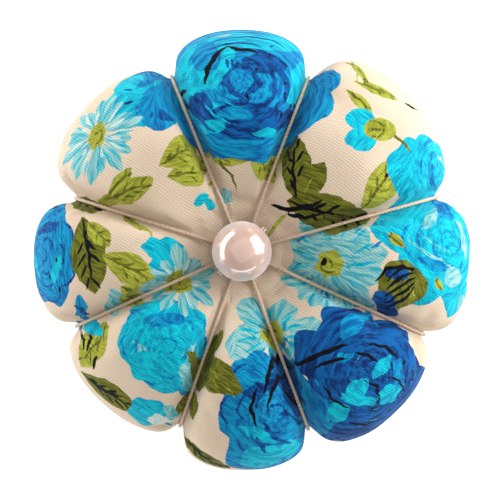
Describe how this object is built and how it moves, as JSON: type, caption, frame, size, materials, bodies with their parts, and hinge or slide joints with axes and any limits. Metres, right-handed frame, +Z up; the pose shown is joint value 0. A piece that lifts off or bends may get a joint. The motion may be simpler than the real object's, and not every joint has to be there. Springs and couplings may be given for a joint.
{
  "type": "segmented pin cushion",
  "caption": "Stuffed cotton pin cushion drawn into lobes by a cord, with a pearl bead in its middle and a felt base.",
  "frame": {"origin": "middle of the cushion's outline, on the table under the felt base", "axes": "+Z up through the bead; the lobes and the cord's runs stand round it, counter-clockwise from +X"},
  "size_m": [0.075, 0.0756, 0.039],
  "materials": {
    "printed_cotton": "plain-weave cotton with a printed floral pattern in blues and greens on cream",
    "polyester_fibre": "loose white fibre filling",
    "grey_board": "uncoated grey board",
    "wool_felt": "cream pressed felt",
    "twisted_cord": "waxed beige twisted cord",
    "sewing_thread": "off-white sewing thread",
    "pearl_lacquer": "imitation pearl lacquer with a soft lustre"
  },
  "bodies": {
    "cushion": {"cotton_cover": "printed_cotton", "fibre_filling": "polyester_fibre", "base_card": "grey_board", "base_felt": "wool_felt", "segment_cord": "twisted_cord", "segment_cord_knot": "twisted_cord", "gathering_thread": "sewing_thread", "bead_thread": "sewing_thread"},
    "bead": {"pearl_bead": "pearl_lacquer"}
  },
  "joints": [
    {"name": "bead_spin", "type": "hinge", "parent": "cushion", "child": "bead", "pos_m": [-0.00179, -0.0002, 0.03397], "axis": [0.7071, 0.7071, 0], "continuous": true}
  ]
}
